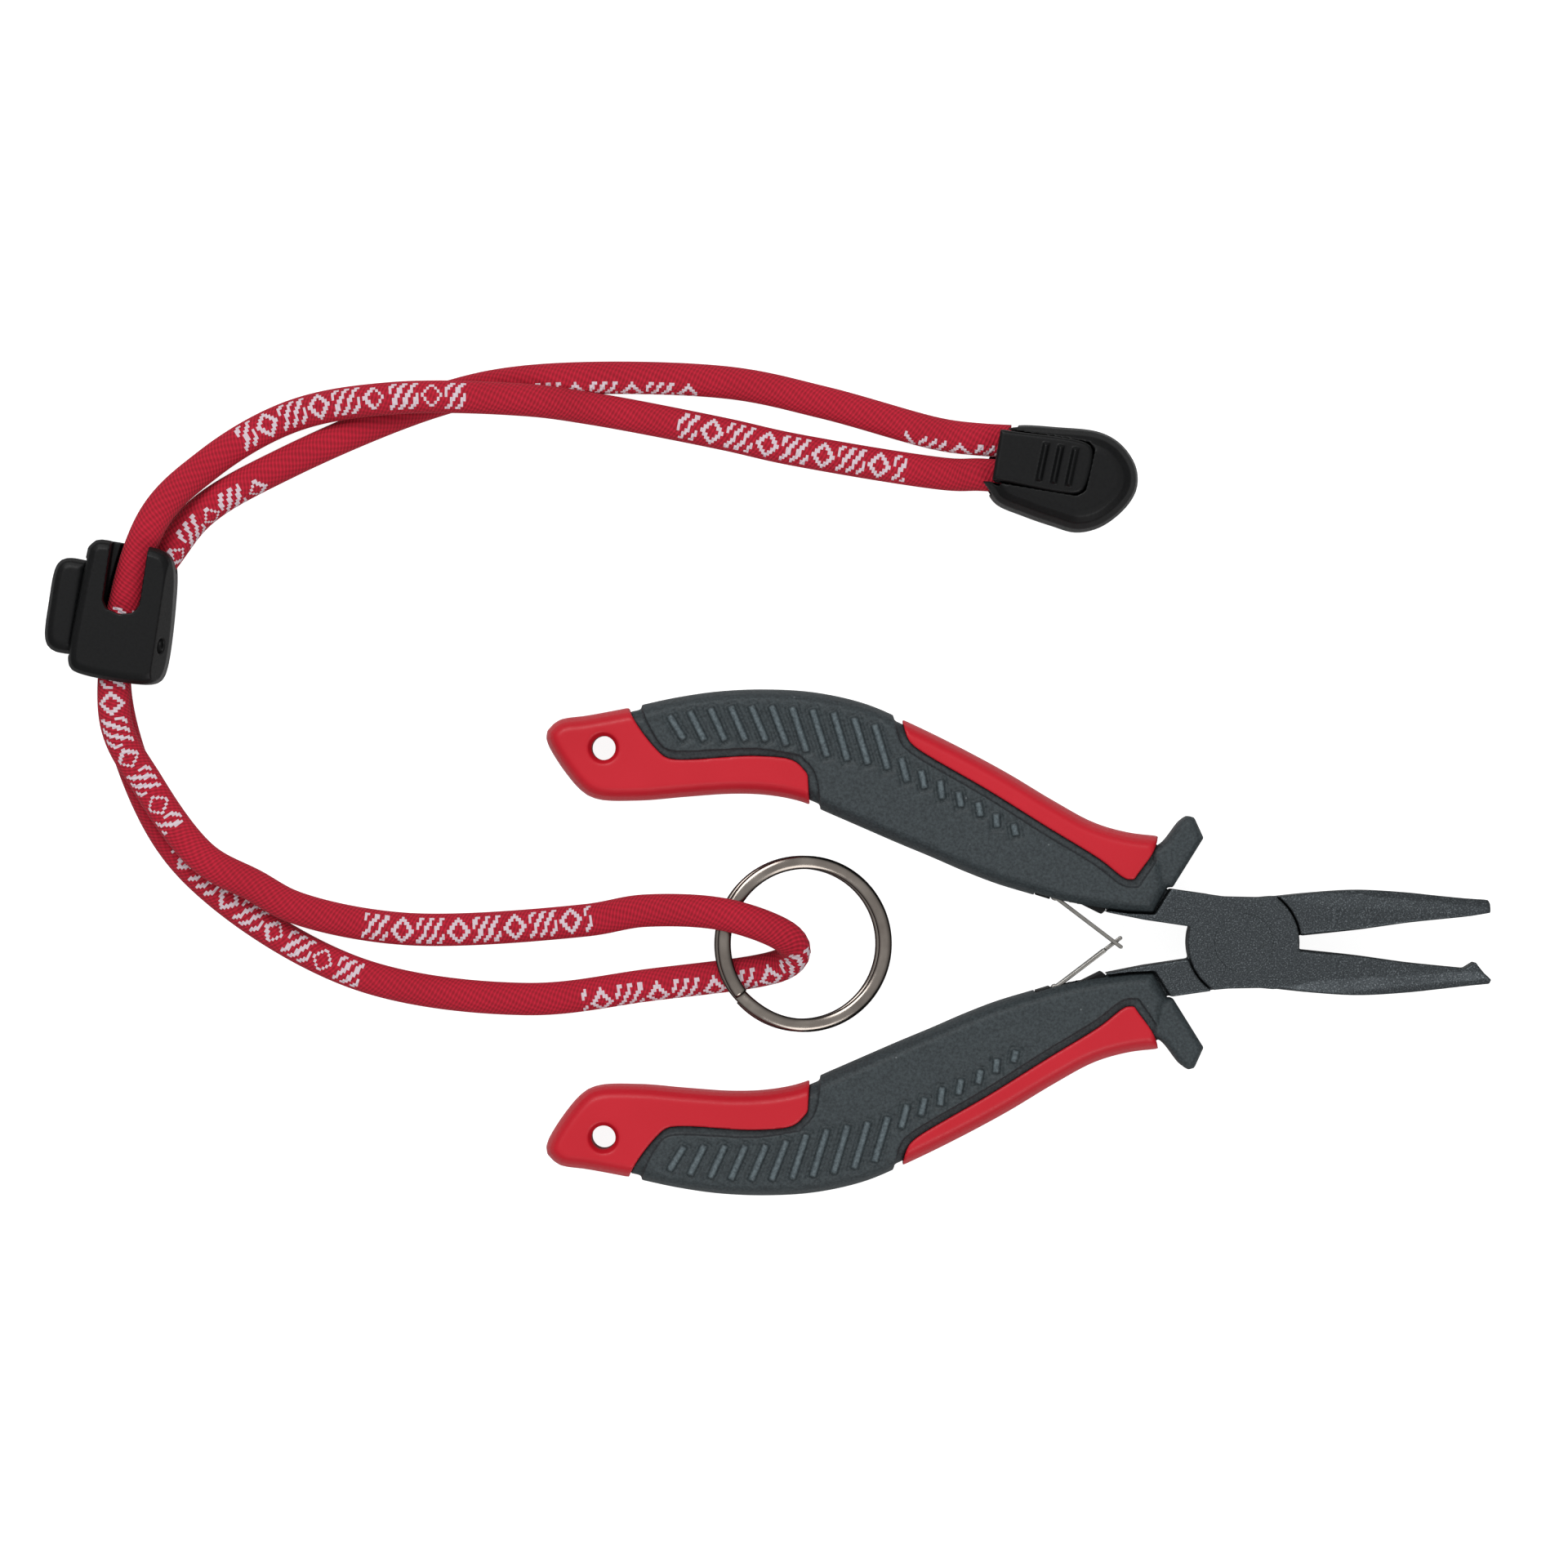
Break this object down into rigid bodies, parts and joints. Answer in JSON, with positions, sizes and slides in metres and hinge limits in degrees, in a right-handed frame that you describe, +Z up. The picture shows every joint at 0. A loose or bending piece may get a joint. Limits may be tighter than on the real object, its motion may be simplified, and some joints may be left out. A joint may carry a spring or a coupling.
{
  "type": "fishing pliers",
  "caption": "Straight-jaw fishing pliers with a split-ring tooth, two-colour curved handles, crossed leaf return springs and a strap lanyard with cord lock and clamp end.",
  "frame": {"origin": "bottom centre of the bounding box of the pliers themselves, without the lanyard and its ring; the pivot is at x = 0.0362, y = 0", "axes": "+X to the jaw tips, +Y to the upper handle, +Z up through the thickness; the pliers lie flat"},
  "size_m": [0.2335, 0.135, 0.012],
  "materials": {
    "coated_steel": "satin dark coating",
    "rivet_steel": "satin dark coating",
    "red_handle": "satin",
    "soft_grip": "matt",
    "black_plastic": "satin",
    "spring_steel": "bright",
    "woven_strap": "woven",
    "ring_nickel": "polished dark nickel"
  },
  "bodies": {
    "pivot": {"pivot_rivet": "rivet_steel"},
    "upper_lever": {"lever_hook_jaw": "coated_steel", "handle_core_upper": "red_handle", "grip_upper": "soft_grip", "spring_seat_upper": "black_plastic"},
    "lower_lever": {"lever_plain_jaw": "coated_steel", "handle_core_lower": "red_handle", "grip_lower": "soft_grip", "spring_seat_lower": "black_plastic"},
    "fork": {"leaf_spring_fork": "spring_steel"},
    "tongue": {"leaf_spring_tongue": "spring_steel"},
    "lanyard": {"lanyard_strap": "woven_strap", "cord_lock_body": "black_plastic", "cord_end_body": "black_plastic", "split_ring": "ring_nickel"},
    "lock_button": {"cord_lock_button": "black_plastic"},
    "clamp_lid": {"cord_end_lid": "black_plastic"}
  },
  "joints": [
    {"name": "upper_lever_hinge", "type": "hinge", "parent": "pivot", "child": "upper_lever", "pos_m": [0.0362, 0, 0.006], "axis": [0, 0, 1], "range_deg": [-4, 5.4], "stiffness_Nm_per_rad": 0.6},
    {"name": "lower_lever_hinge", "type": "hinge", "parent": "pivot", "child": "lower_lever", "pos_m": [0.0362, 0, 0.006], "axis": [0, 0, 1], "range_deg": [-5.4, 4]},
    {"name": "fork_hinge", "type": "hinge", "parent": "upper_lever", "child": "fork", "pos_m": [0.0059, 0.00735, 0.006], "axis": [0, 0, 1], "range_deg": [-8, 10.8]},
    {"name": "tongue_hinge", "type": "hinge", "parent": "lower_lever", "child": "tongue", "pos_m": [0.0059, -0.00735, 0.006], "axis": [0, 0, 1], "range_deg": [-10.8, 8]},
    {"name": "lanyard_lift", "type": "slide", "parent": "pivot", "child": "lanyard", "axis": [0, 0, 1], "range_m": [0, 0.06]},
    {"name": "lock_button_slide", "type": "slide", "parent": "lanyard", "child": "lock_button", "axis": [0.9886, -0.1506, 0], "range_m": [0, 0.0022], "stiffness_N_per_m": 600},
    {"name": "clamp_lid_hinge", "type": "hinge", "parent": "lanyard", "child": "clamp_lid", "pos_m": [-0.0026, 0.0784, 0.0097], "axis": [-0.1633, -0.9866, 0], "range_deg": [0, 100]}
  ],
  "couplings": [
    {"joint": "lower_lever_hinge", "follows": "upper_lever_hinge", "ratio": -1},
    {"joint": "fork_hinge", "follows": "upper_lever_hinge", "ratio": 2},
    {"joint": "tongue_hinge", "follows": "upper_lever_hinge", "ratio": -2}
  ]
}
